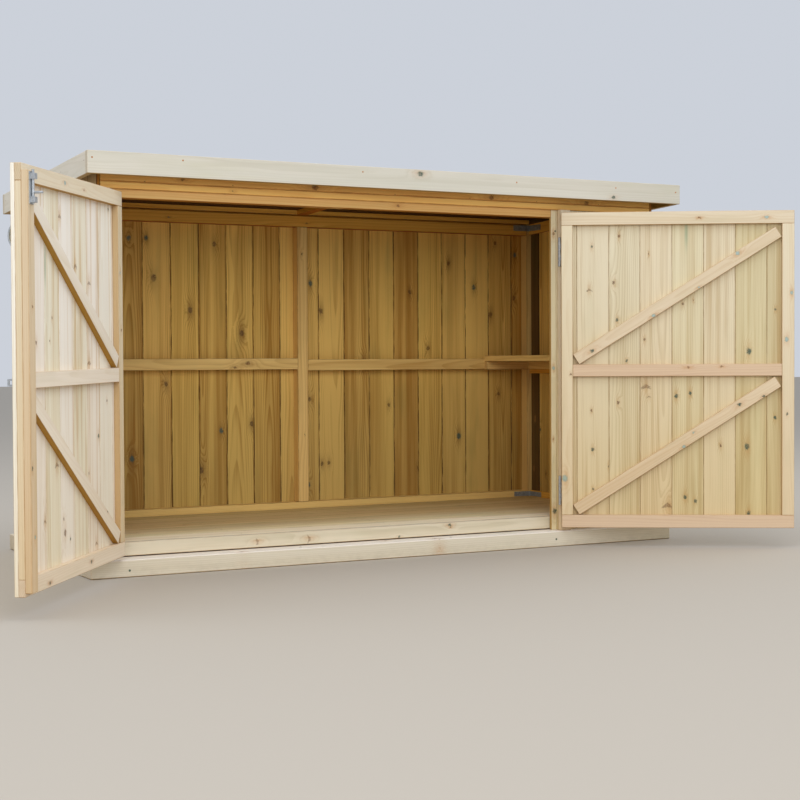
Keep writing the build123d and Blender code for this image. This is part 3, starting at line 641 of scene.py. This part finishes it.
R_TOP = [(761, 1221, -105), (515, 1222, 4)]
L_BOARD = [(991, 394, 108), (946, 273, 107), (702, 280, 108), (1130, 523, 107), (761, 715, 6), (1183, 87, -4), (832, 590, 4), (767, 610, 3),
           (913, 400, 104), (578, 116, 4), (472, 198, -6), (479, 737, 5), (257, 662, 106), (247, 510, 5), (204, 501, 10), (181, 457, -4),
           (361, 290, 4), (142, 226, 107), (411, 563, 108), (418, 507, 4), (426, 780, -5)]
R_TONE = [(0, 0), (0.9, 0.3), (-0.2, -0.1), (0.3, 0.7), (0.4, -0.5), (0.7, 0.5), (-0.4, -0.9), (-0.6, -0.7)]
L_TONE = [(0.2, 0.2), (0.5, -0.3), (0.6, 0.5), (0.1, -0.6), (0.8, 0.2), (-0.3, -0.7), (0.6, 0.6), (0.2, -0.3)]
BACK = [(1191, -635, 5), (1036, -606, 8), (1175, -354, 6), (1189, -705, 5), (910, -457, 7), (1082, 34, 5), (1027, 62, 6),
        (914, 108, 7), (550, 55, 6), (435, 9, 6), (282, 110, 5), (285, 141, 5), (199, 47, 6), (274, -416, 8), (1125, 712, 6),
        (1024, 837, 6), (906, 920, 7), (1219, 945, 5), (1170, 1045, 5), (980, 1040, 6), (998, 523, 5), (640, -890, 6),
        (820, -240, 7), (455, -200, 6), (700, 300, 6), (520, 420, 5), (760, 610, 6), (380, 760, 7), (560, 960, 5), (620, -560, 6),
        (330, -700, 6), (840, -960, 6), (250, 560, 5), (430, -330, 5)]
BACK = [(z, x, r * (-1.5 if i % 3 == 0 else 1.5)) for i, (z, x, r) in enumerate(BACK)]


def door_boards(name, side, known, stain_at):
    place = LEFT if side < 0 else RIGHT
    p = Piece(name, "board_timber", "left_door" if side < 0 else "right_door", name)
    edges = [6.0, 64.0, 183.0, 298.0, 416.0, 533.0, 649.0, 765.0, 862.5]
    for i, (e0, e1) in enumerate(zip(edges[:-1], edges[1:])):
        a, c = e0 + (0.4 if i else 0), e1 - (0.4 if i < 7 else 0)
        ks = [q for q in known if e0 <= q[1] < e1]
        stn = None
        for s in stain_at:
            if e0 <= s[1] < e1:
                stn = s
        p.board((a, c, 0, 12, DZ0, DZ1), 2, BOARD if side > 0 else LEAF, b=1.3, place=place, knots=ks, stain=stn, across=0,
                tone=(R_TONE if side > 0 else L_TONE)[i][0], hue=(R_TONE if side > 0 else L_TONE)[i][1], outer=(0, 0, 0) if side > 0 else (0, -1, 0))
        if i:
            p.board((e0 - 3, e0 + 3, 4.5, 8.0, DZ0 + 1, DZ1 - 1), 2, BOARD if side > 0 else LEAF, b=0.3, place=place, knots=[], tone=-1.2)
    return p.build()


door_boards("right_door_boards", 1, R_BOARD, [(1169, 469, 6)])
door_boards("left_door_boards", -1, L_BOARD, [(984, 641, 7)])


def door_frame(pre, side):
    place = LEFT if side < 0 else RIGHT
    body = "left_door" if side < 0 else "right_door"
    right = side > 0
    # painted shade weights for the rails, stiles and braces below: their undersides and narrow sides are coloured
    # darker and more orange
    flat = ((0.25, 0.0, 0.1), (0.25, 0.0, 0.95))
    tall = ((0.55, 0.0, 0.3), (0.55, 0.0, 0.9))
    free = ((0.05, 0.0, 0.3), (0.55, 0.0, 0.9))
    p = Piece(pre + "rails", "frame_timber", body, pre + "rails")
    p.board((6, 862.5, 12, 31, DZ1 - 48, DZ1), 0, FRAME, b=1.8, place=place, knots=R_TOP if right else [(363, 1218, 4), (526, 1223, -105)], hue=0.1 if right else -0.1, tone=-0.6 if right else 0.2, painted_shade=flat)
    p.board((48, 817.5, 12, 31, 635.5, 680.5), 0, LOWPINK if right else LBRACE, b=1.8, place=place, knots=R_MID if right else [],
            hue=0.4, tone=0.3, painted_shade=flat)
    p.board((6, 862.5, 12, 31, DZ0, DZ0 + 47.5), 0, LOWPINK if right else LBRACE, b=1.8, place=place, knots=[] if right else [(329, 96, -5), (677, 84, -5)],
            hue=0.5, tone=0.2, painted_shade=flat)
    p.build()
    p = Piece(pre + "stiles", "frame_timber", body, pre + "stiles")
    lo, hi = DZ0 + 47.5, DZ1 - 48
    p.board((6, 48, 12, 31, lo, hi), 2, FRAME, b=1.8, place=place, across=0, hue=-0.5, tone=0.4,
            knots=[(645, 40, 4), (256, 18, -109)] if right else [(985, 30, -104), (802, 22, 4)], painted_shade=tall)
    p.board((817.5, 862.5, 12, 31, lo, hi), 2, FRAME, b=1.8, place=place, across=0, hue=-0.3, tone=0.4,
            knots=[(942, 852, -105), (771, 834, -106), (494, 836, -4)] if right else [(700, 840, -104)], painted_shade=free)
    p.build()
    p = Piece(pre + "braces", "frame_timber", body, pre + "braces")
    for (u0, z0, u1, z1), known in (((60.2, 699.6, 805.0, 1167.5), R_UP), ((60.2, 137.8, 803.5, 614.5), R_LOW)):
        ang = math.atan2(z1 - z0, u1 - u0)
        ca, sa = math.cos(ang), math.sin(ang)

        def along(q, u0=u0, z0=z0, ca=ca, sa=sa):
            out = np.stack([u0 + q[:, 0] * ca - q[:, 2] * sa, q[:, 1], z0 + q[:, 0] * sa + q[:, 2] * ca], 1)
            return place(out)
        ks = [((u - u0) * ca + (z - z0) * sa, -(u - u0) * sa + (z - z0) * ca, r) for z, u, r in known] if right else None
        p.board((0, math.hypot(u1 - u0, z1 - z0), 12, 31, -22, 22), 0, FRAME if right else LBRACE, b=1.8, place=along, knots=ks, hue=0.35 if right else 0.1,
                tone=-0.5 if right else 0.1, painted_shade=((0.5, 0, 0.1), (0.5, 0, 1.0)))
    p.build()


door_frame("right_door_", 1)
door_frame("left_door_", -1)
p = Piece("left_door_closing_batten", "frame_timber", "left_door", "left_door_closing_batten")
# painted shade on the batten's sides and underside
p.board((817.5, 862.5, 31, 50, 82, 1226), 2, FRAME, b=1.8, place=LEFT, across=0, hue=0.5, tone=-1.3,
        knots=[(232, 835, -104), (420, 850, -4), (860, 838, 4)], painted_shade=((0.1, 0.0, 0.1), (0.8, 0.0, 0.9)))
p.build()

# ---- base and floor ------------------------------------------------------------
p = Piece("base_long_beams", "base_timber", "shelter", "base_long_beams")
# the front beam's top face takes the whiter colour, painted light from the sky
p.board((-1158, 1168, -493, -398, 0, 57), 0, BASE, b=4.0, across=1, tone=0.3, outer=(0, 0, 1),
        knots=[(124, -470, 9), (134, -486, 6), (-631, -480, 6), (-60, -440, 6), (700, -455, 7)])
p.board((-1158, 1168, 398, 493, 0, 57), 0, BASE, b=4.0, across=1)
p.build()
p = Piece("base_end_beams", "base_timber", "shelter", "base_end_beams")
p.board((-1158, -1063, -398, 398, 0, 57), 1, BASE, b=3.0)
p.board((1073, 1168, -398, 398, 0, 57), 1, BASE, b=3.0)
p.build()
p = Piece("base_bearers", "base_timber", "shelter", "base_bearers")
for x in (-587, 0, 587):
    p.board((x - 22.5, x + 22.5, -398, 398, 0, 57), 1, BASE, b=2.0)
p.build()
p = Piece("floor_joists", "frame_timber", "shelter", "floor_joists")
for x in (-1067.5, -587, 0, 587, 1067.5):
    p.board((x - 22.5, x + 22.5, -394, 382, 57, 90), 1, FRAME, b=1.5)
p.build()
p = Piece("floor_boards", "board_timber", "shelter", "floor_boards")
edges = [-394 + 776 * i / 7 for i in range(8)]
run(p, edges, lambda a, c: (-XE, XE, a, c, 90, 106), 0, FLOORS, gap=2.0, b=2.2, density=10,
    tongue=lambda a, c: (-XE + 1, XE - 1, a, c, 95, 100))
p.build()

# ---- front frame ---------------------------------------------------------------
p = Piece("front_posts", "frame_timber", "shelter", "front_posts")
p.board((-1102, -1057, YF, YF1, 57, 1400), 2, FRAME, b=1.8, top=wall_top, hue=-0.3)
p.board((673.3, 718.3, YF, YF1, 57, 1400), 2, JAMB, b=1.8, top=wall_top, hue=-0.2, tone=0.8, across=0, knots=[])
# painted shade on the strip's sides and underside
p.board((651, 673.2, YF, YF + 12, 57, 1400), 2, JAMB, b=1.2, top=wall_top, hue=-0.5, tone=1.0, across=0,
        knots=[(1240, 664, 6), (705, 662, -105), (420, 660, 3), (131, 665, -8)], painted_shade=((0.5, 0, 0), (0.9, 0, 0.9)))
p.board((1057, 1102, YF, YF1, 57, 1400), 2, FRAME, b=1.8, top=wall_top)
p.build()
p = Piece("front_header_rail", "frame_timber", "shelter", "front_header_rail")
p.board((-1057, 651, YF, YF1, 1233, 1278), 0, HEAD, b=1.8, hue=0.2, tone=-0.1, knots=[(-772, 1272, -104), (-664, 1265, 5), (-2, 1249, 6)], across=2)
p.build(hole=(-226.1, -419.0, 6.5, 1220.0, 1259.0, (-203.0, -416.5, 1255.5)))
p = Piece("front_header_end", "frame_timber", "shelter")
p.board((651, 673.3, YF + 12.2, YF1, 1233, 1278), 0, HEAD, b=1.2, knots=[], across=2)
p.build()
p = Piece("front_bottom_rail", "frame_timber", "shelter", "front_bottom_rail")
p.board((-1057, 673.3, -419, YF1, 60.5, 106), 0, SILL, b=2.6, hue=-0.2, tone=0.6, across=2,
        knots=[(-544, 80, 106), (-348, 78, 107), (217, 97, -5), (7, 66, -4), (222, 88, 3)])
p.build()
p = Piece("front_right_rails", "frame_timber", "shelter", "front_right_rails")
for z0, z1 in ((57, 106), (660, 705), (1233, 1278)):
    p.board((718.3, 1057, YF, YF1, z0, z1), 0, FRAME, b=1.8)
p.build()
p = Piece("front_top_board", "fascia_timber", "shelter", "front_top_board")
# painted shade on the undersides of the front top boards
soft = ((0, 0, 0), (0, 0, 0.5))
p.board((-XI, XI, YC0, YF, 1261, 1283.5), 0, UNDER, b=2.0, knots=[(-640, 1270, 3)], across=2, tone=0.5, painted_shade=soft)
p.board((-XI, XI, YC0, YF, 1285.5, 1323.3), 0, UNDER, b=2.0, top=wall_top, bottom=lambda y: 1285.5 + 0 * y, across=2, tone=-0.6, painted_shade=soft,
        knots=[(383, 1295, 10), (806, 1292, 9), (-334, 1298, 11), (-338, 1308, -7), (-818, 1301, 6)])
p.board((-XI + 1, XI - 1, -447, -443.5, 1280, 1289), 0, UNDER, b=0.3, knots=[], tone=-1.3)
p.build()
p = Piece("front_right_boards", "board_timber", "shelter", "front_right_boards")
run(p, [673.3, 757, 874, 991, 1102], lambda a, c: (a, c, YC0, YF, 57, 1261), 2, BOARD, b=1.6, across=0,
    tongue=lambda a, c: (a, c, -446.5, -443, 58, 1260))
p.build()
p = Piece("front_trims", "frame_timber", "shelter", "front_trims")
p.board((-1114, XTRIM, -470, -451, 57, 1261), 2, FRAME, b=1.8, across=0)
p.board((-1102, XTRIM, -451, -439, 57, 1261), 2, FRAME, b=0.8, across=0)
p.board((XPANEL, 718.3, -470, -451, 57, 1261), 2, FRAME, b=1.8, across=0)
p.board((1069, 1114, -470, -451, 57, 1261), 2, FRAME, b=1.8, across=0)
p.build()

# ---- back frame ----------------------------------------------------------------
p = Piece("back_posts", "frame_timber", "shelter", "back_posts")
zr = wall_top(YBI)
for x0, x1 in ((-XI, -XC), (XC, XI)):
    # the corner posts are toned darker, painted shade in the back corners
    p.board((x0, x1, YK0, YBI, 57, 1300), 2, INMID, b=1.8, top=wall_top, across=0, tone=-0.8)
p.board((-16, 29, YK0, YBI, 132, zr - 47), 2, INMID, b=1.8, across=0, tone=-0.3)
p.build()
p = Piece("back_rails", "frame_timber", "shelter", "back_rails")
p.board((-XC, XC, YK0, YBI, 1236, 1300), 0, INRAIL, b=2.6, top=lambda y: wall_top(y) - 5, bottom=lambda y: zr - 47 + 0 * y, across=2, hue=0.2,
        tone=-0.5, knots=[(-560, 1262, -4), (25, 1259, 3), (-900, 1258, 4)])
p.board((-XC + 20, XC - 20, YK0 + 12, YBI, 1270, 1300), 0, INRAIL, b=1.0, top=wall_top, bottom=lambda y: zr - 20 + 0 * y, across=2, knots=[])
p.board((-XC, -16, YK0, YBI, 665, 710), 0, INMID, b=1.8, across=2, tone=0.1)
p.board((29, XC, YK0, YBI, 660, 705), 0, INMID, b=1.8, across=2, tone=0.1)
p.board((-XC, XC, YK0, YBI, 57, 132), 0, INMID, b=1.8, across=2, tone=0.6)
p.build()
p = Piece("back_boards", "board_timber", "shelter", "back_boards")
edges = [-1102.0] + [-652.9 + 115.5 * i for i in range(-3, 6)] + [6.0] + [97.3 + 115.9 * i for i in range(9)] + [1102.0]
run(p, edges, lambda a, c: (a, c, YBI, YB, 57, 1300), 2, INNER, b=2.4, gap=2.4, across=0, known=BACK, top=wall_top, spread=0.95, outer=(0, 1, 0),
    tongue=lambda a, c: (a, c, 430.5, 434.5, 58, 1299))
p.build()

# ---- end walls -----------------------------------------------------------------
for name, s in (("left", -1), ("right", 1)):
    a, c = sorted((s * XI, s * XE))
    p = Piece(name + "_end_rails", "frame_timber", "shelter", name + "_end_rails")
    p.board((a, c, YF1, YK0, 57, 132), 1, INRAIL, b=1.4, across=2)
    p.board((a, c, YF1, YK0, 640, 680), 1, INRAIL, b=1.4, across=2)
    p.board((a, c, YF1, YK0, 1240, 1300), 1, INRAIL, b=1.4, top=wall_top, bottom=lambda y: wall_top(y) - 45, across=2)
    p.build()
    a, c = sorted((s * XI, s * XW))
    p = Piece(name + "_end_boards", "board_timber", "shelter", name + "_end_boards")
    edges = [YC0, -362, -246, -130, -14, 102, 218, 323, YB]
    for i, (e0, e1) in enumerate(zip(edges[:-1], edges[1:])):
        # painted shade: the rearmost right board dark inside; the outer faces, front edges and undersides darkened near
        # the top, where the eaves cast shade
        p.board((a, c, e0 + (1.2 if i else 0), e1 - (1.2 if i < 7 else 0), 57, 1300), 2, ENDDARK if s > 0 and i == 7 else INNER, b=2.4, across=1,
                top=wall_top, hue=0.0, outer=(s, 1 if i == 7 else 0, 0), tone=-1.2 if i == 7 else None, painted_shade=((0.6 if s > 0 else 0, 0, 0), (0.6 if s < 0 else 0, 1, 1)), cuts=40,
                where=lambda q: q[:, 2] > roof_top(q[:, 1]) - 112)
        if i:
            p.board((a + 4, c - 4, e0 - 3, e0 + 3, 58, 1299), 2, INNER, b=0.3, across=1, top=wall_top, knots=[], tone=-1.3)
    p.build()

# ---- roof ----------------------------------------------------------------------
# the battens and deck take the dark painted shade colour of the roof's underside
p = Piece("roof_battens", "frame_timber", "shelter", "roof_battens")
for box, gr in (((-XW, XW, YC0, YF1), 0), ((-XW, XW, YK0, YB), 0), ((-XW, -XE, YF1, YK0), 1), ((XE, XW, YF1, YK0), 1),
                ((-16, 29, YF1, YK0), 1)):
    p.board(box + (1300, 1318), gr, INRAIL if box[0] == -16 or box[2] == YK0 else SHADE_DARK, b=1.0, tone=-0.6, top=deck_under, bottom=wall_top, across=1 - gr)
p.build()
p = Piece("roof_deck", "board_timber", "shelter", "roof_deck")
edges = [YR0 + 987 * i / 9 for i in range(10)]
run(p, edges, lambda a, c: (XD0, XD1, a, c, 1300, 1312), 0, SHADE_DARK, b=1.5, across=1,
    top=lambda y: deck_under(y) + 12, bottom=deck_under)
p.board((XD0 + 1, XD1 - 1, YR0 + 1, YR1 - 1, 1300, 1306), 0, SHADE_DARK, b=0.5, across=1, knots=[],
        top=lambda y: deck_under(y) + 9, bottom=lambda y: deck_under(y) + 5)
p.build()
p = Piece("roof_felt", "roof_felt", "shelter", "roof_felt")
for y0, y1, lift in ((YR0, 20, 0.9), (-55, YR1, 0.0)):
    p.board((XD0, XD1, y0, y1, 1300, 1302), 0, FELT, b=0.6, across=1, knots=[],
            top=lambda y, lift=lift: deck_under(y) + 12 + 1.6 + lift, bottom=lambda y: deck_under(y) + 12.0)
p.build()
p = Piece("fascia_front", "fascia_timber", "shelter", "fascia_front")
p.board((XR0, XR1, Y_ROOF_F, YR0, 1296.5, 1369.7), 0, FASCIA, b=2.0, across=2, tone=0.3, hue=-0.1,
        knots=[(871, 1309, -6), (37, 1355, -8)], pith=(20, -60, 4))
p.build()
p = Piece("fascia_back", "fascia_timber", "shelter", "fascia_back")
zb = roof_top(YR1)
p.board((XR0, XR1, YR1, Y_ROOF_B, zb - 73.2, zb), 0, FASCIA, b=2.0, across=2)
p.build()
p = Piece("fascia_sides", "fascia_timber", "shelter", "fascia_sides")
# painted shade on the inner face and underside of each side fascia, only below the deck
for a, c, shade in ((XR0, XD0, ((1, 0, 0), (0, 0, 0.8))), (XD1, XR1, ((0, 0, 0), (1, 0, 0.8)))):
    p.board((a, c, YR0, YR1, 1290, 1360), 1, FASCIA, b=2.0, across=2, top=roof_top, bottom=lambda y: roof_top(y) - 73.2, painted_shade=shade,
            rows=7, where=lambda q: q[:, 2] < roof_top(q[:, 1]) - 23)
p.build()

# ---- shelf ---------------------------------------------------------------------
p = Piece("shelf_board", "board_timber", "shelter", "shelf_board")
p.board((862, 975.4, -374, YK0, 693, 718), 1, INMID, b=1.8, tone=0.6)
p.board((976.6, XE, -374, YK0, 693, 718), 1, INMID, b=1.8)
p.build()
p = Piece("shelf_bearers", "frame_timber", "shelter", "shelf_bearers")
p.board((862, XE, 362, 382, 658, 693), 0, INMID, b=1.5)
p.board((1070, XE, -374, 362, 658, 693), 1, INMID, b=1.5)
p.build()

# ---- fittings that keep the frame's own shape -----------------------------------
for n in ("left_door_hinge_knuckles", "right_door_hinge_knuckles", "frame_hinges", "corner_straps",
          "left_door_bolt_housing", "bolt_rod", "left_door_handle", "left_door_staple", "right_door_hasp"):
    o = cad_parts[n]
    o.data.materials.clear()
    o.data.materials.append(STRAP if n == "corner_straps" else ZINC)

# ---- nails and screws ------------------------------------------------------------


def heads(name, body, spots, r, rise, mat, slot_cross):
    """Round heads set in the timber: spots are (point mm, normal)."""
    verts, faces = [], []
    seg = 12
    for pt, nn in spots:
        nn = np.array(nn, float)
        nn /= np.linalg.norm(nn)
        ref = np.array([0, 0, 1.0]) if abs(nn[2]) < 0.9 else np.array([1.0, 0, 0])
        ex = np.cross(ref, nn)
        ex /= np.linalg.norm(ex)
        ey = np.cross(nn, ex)
        turn = rng.uniform(0, math.pi)
        base = len(verts)
        rows = [(r, -1.0), (r, rise * 0.25), (r * 0.86, rise * 0.85), (r * 0.5, rise), (r * 0.22, rise * (0.2 if slot_cross else 1.0))]
        for rr, h in rows:
            for i in range(seg):
                ph = turn + 2 * math.pi * i / seg
                q = rr
                if slot_cross and rr == r * 0.5:
                    q = rr * (1.15 if i % 3 == 0 else 0.75)
                verts.append((np.array(pt) + ex * q * math.cos(ph) + ey * q * math.sin(ph) + nn * h) * 0.001)
        for j in range(len(rows) - 1):
            for i in range(seg):
                a, b2 = base + j * seg + i, base + j * seg + (i + 1) % seg
                faces.append((a, b2, b2 + seg, a + seg))
        faces.append(tuple(base + (len(rows) - 1) * seg + i for i in range(seg)))
        faces.append(tuple(base + i for i in reversed(range(seg))))
    me = bpy.data.meshes.new(name)
    me.from_pydata([tuple(v) for v in verts], [], faces)
    me.materials.append(mat)
    me.update()
    o = bpy.data.objects.new(name, me)
    bpy.context.scene.collection.objects.link(o)
    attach(o, body)
    return o


nails, screws = [], []
# fascia
rusty = [((x, Y_ROOF_F, z), (0, -1, 0)) for x, z in ((-1154, 1347), (-849, 1353), (-191, 1350), (438, 1344), (881, 1345),
                                                     (1164, 1341))]
for x in (-1100, -700, -300, 100, 500, 900, 1120):
    nails.append(((x + rng.uniform(-20, 20), Y_ROOF_B, zb - 30 + rng.uniform(-4, 4)), (0, 1, 0)))
for y in (-500, -250, 0, 250, 450):
    nails.append(((XR0, y, roof_top(y) - 28), (-1, 0, 0)))
    nails.append(((XR1, y, roof_top(y) - 28), (1, 0, 0)))
# cladding outside: two nails a board at every rail
for e0, e1 in zip([YC0, -362, -246, -130, -14, 102, 218, 323], [-362, -246, -130, -14, 102, 218, 323, YB]):
    for z in (95, 660, 1268):
        for y in (e0 + 0.24 * (e1 - e0), e0 + 0.76 * (e1 - e0)):
            for s in (-1, 1):
                nails.append(((s * XW, y + rng.uniform(-3, 3), z + rng.uniform(-4, 4)), (s, 0, 0)))
bedges = [-1102.0] + [-652.9 + 115.5 * i for i in range(-3, 6)] + [6.0] + [97.3 + 115.9 * i for i in range(9)] + [1102.0]
for e0, e1 in zip(bedges[:-1], bedges[1:]):
    for z in (95, 684, 1258):
        for x in (e0 + 0.24 * (e1 - e0), e0 + 0.76 * (e1 - e0)):
            nails.append(((x + rng.uniform(-3, 3), YB, z + rng.uniform(-4, 4)), (0, 1, 0)))
for e0, e1 in zip([718.3, 757, 874, 991], [757, 874, 991, 1069]):
    for z in (82, 684, 1248):
        for x in (e0 + 0.26 * (e1 - e0), e0 + 0.74 * (e1 - e0)):
            nails.append(((x, YC0, z + rng.uniform(-4, 4)), (0, -1, 0)))
for x in (-950, -640, -330, -20, 290, 580, 860):
    nails.append(((x, YC0, 1290 + rng.uniform(-3, 3)), (0, -1, 0)))
# floor: two nails a board at every joist
fedges = [-394 + 776 * i / 7 for i in range(8)]
for x in (-1067.5, -587, 0, 587, 1067.5):
    for e0, e1 in zip(fedges[:-1], fedges[1:]):
        for y in (e0 + 0.25 * (e1 - e0), e0 + 0.75 * (e1 - e0)):
            nails.append(((x + rng.uniform(-5, 5), y, 106), (0, 0, 1)))
# trims
for x in (-1094, 695, 1091):
    for z in (140, 400, 660, 930, 1200):
        nails.append(((x, -470, z + rng.uniform(-6, 6)), (0, -1, 0)))
# green screws
for x, z in ((671, 1182), (671, 130)):
    screws.append(((x, YF, z), (0, -1, 0)))
screws.append(((636, -493, 16 + 12), (0, -1, 0)))
screws.append(((-1028, -493, 22), (0, -1, 0)))
for x in (-1120, -400, 200, 1120):
    for y in (-455, 455):
        screws.append(((x, y, 57), (0, 0, 1)))
heads("shelter_nails", "shelter", nails, 1.6, 0.35, NAIL, False)
heads("fascia_nails", "shelter", rusty, 3.0, 0.3, RUST, False)
heads("shelter_screws", "shelter", screws, 4.0, 0.4, SCREW, True)


def on_leaf(place, u, v, z, out):
    a = place(np.array([[u, v, z], [u, v + out, z]], float))
    return a[0], a[1] - a[0]


for pre, place, body in (("left_door", LEFT, "left_door"), ("right_door", RIGHT, "right_door")):
    nl, sc = [], []
    ed = [6.0, 64.0, 183.0, 298.0, 416.0, 533.0, 649.0, 765.0, 862.5]
    for e0, e1 in zip(ed[:-1], ed[1:]):
        for z in (95, 658, 1222):
            for u in ((e0 + e1) / 2,) if e1 - e0 < 80 else (e0 + 0.24 * (e1 - e0), e0 + 0.76 * (e1 - e0)):
                nl.append(on_leaf(place, u + rng.uniform(-3, 3), 0, z + rng.uniform(-4, 4), -1))
    for z in (200, 420, 880, 1080):
        for u in (27, 840):
            nl.append(on_leaf(place, u, 0, z, -1))
    heads(pre + "_nails", body, nl, 1.6, 0.35, NAIL, False)

# ---- screws in the steel fittings ------------------------------------------------
hl, hr, hb = [], [], []
for u, z in ((823, 634), (851, 634), (823, 654), (851, 654)):
    hl.append(on_leaf(LEFT, u, -3, z - RACK * 0 + 0, -1))
for u, z in ((832, 1131), (848, 1131), (832, 1209), (848, 1209)):
    hb.append(on_leaf(LEFT, 829.5 if u < 840 else 850.5, 52, z + 17 if z < 1170 else z - 17, 1))
for u, z in ((800, 644), (800, 660), (846, 644), (846, 660)):
    hr.append(on_leaf(RIGHT, u, -3, z, -1))
heads("left_door_fitting_screws", "left_door", hl + hb, 2.6, 0.6, ZINC, True)
heads("right_door_fitting_screws", "right_door", hr, 2.6, 0.6, ZINC, True)

# ---- floor, camera, light ---------------------------------------------------------
fm = bpy.data.materials.new("studio_floor")
fm.use_nodes = True
fm.node_tree.nodes["Principled BSDF"].inputs["Base Color"].default_value = (0.50, 0.45, 0.38, 1)
fm.node_tree.nodes["Principled BSDF"].inputs["Roughness"].default_value = 0.9
me = bpy.data.meshes.new("studio_floor")
me.from_pydata([(-40, -40, -0.0005), (40, -40, -0.0005), (40, 40, -0.0005), (-40, 40, -0.0005)], [], [(0, 1, 2, 3)])
me.materials.append(fm)
floor = bpy.data.objects.new("studio_floor", me)
bpy.context.scene.collection.objects.link(floor)

world = bpy.context.scene.world or bpy.data.worlds.new("World")
bpy.context.scene.world = world
world.use_nodes = True
bg = world.node_tree.nodes.get("Background") or world.node_tree.nodes.new("ShaderNodeBackground")
bg.inputs[0].default_value = (0.86, 0.91, 1.0, 1)
bg.inputs[1].default_value = 0.70


def area(name, where, at, size, power, colour):
    d = bpy.data.lights.new(name, "AREA")
    d.shape = "RECTANGLE"
    d.size, d.size_y = size
    d.energy = power
    d.color = colour
    o = bpy.data.objects.new(name, d)
    bpy.context.scene.collection.objects.link(o)
    o.location = where
    o.rotation_euler = (Vector(at) - Vector(where)).to_track_quat("-Z", "Y").to_euler()
    return o


area("soft_top", (-0.8, -2.2, 7.0), (0.0, 0.0, 0.6), (9.0, 7.0), 210.0, (0.97, 0.98, 1.0))
area("soft_front", (-3.5, -8.0, 3.4), (0.2, 0.4, 0.6), (6.0, 4.0), 220.0, (1.0, 0.98, 0.95))
area("soft_left", (-6.0, 1.0, 5.0), (0.0, 0.0, 0.6), (5.0, 5.0), 70.0, (0.95, 0.97, 1.0))
area("soft_right", (6.0, -1.0, 5.5), (0.0, 0.0, 0.6), (5.0, 5.0), 90.0, (0.95, 0.97, 1.0))

yaw, pitch, roll = math.radians(28.55251), math.radians(-1.42495), math.radians(-0.28281)
fwd = Vector((math.sin(yaw) * math.cos(pitch), math.cos(yaw) * math.cos(pitch), math.sin(pitch)))
right = Vector((math.cos(yaw), -math.sin(yaw), 0.0))
up = right.cross(fwd)
r2 = right * math.cos(roll) + up * math.sin(roll)
u2 = -right * math.sin(roll) + up * math.cos(roll)
cam = bpy.data.cameras.new("camera")
cam.sensor_fit = "HORIZONTAL"
cam.sensor_width = 36.0
cam.lens = 36.0 * 1600.24234 / 800.0
cam.clip_start, cam.clip_end = 0.05, 200.0
cam.dof.use_dof = False
co = bpy.data.objects.new("camera", cam)
bpy.context.scene.collection.objects.link(co)
m = Matrix((r2, u2, -fwd)).transposed().to_4x4()
m.translation = Vector((-2.72913, -5.45901, 0.69996))
co.matrix_world = m
bpy.context.scene.camera = co
bpy.context.scene.view_settings.view_transform = "Standard"
bpy.context.scene.view_settings.look = "None"
bpy.context.scene.view_settings.exposure = 0.0
bpy.context.scene.view_settings.gamma = 1.0
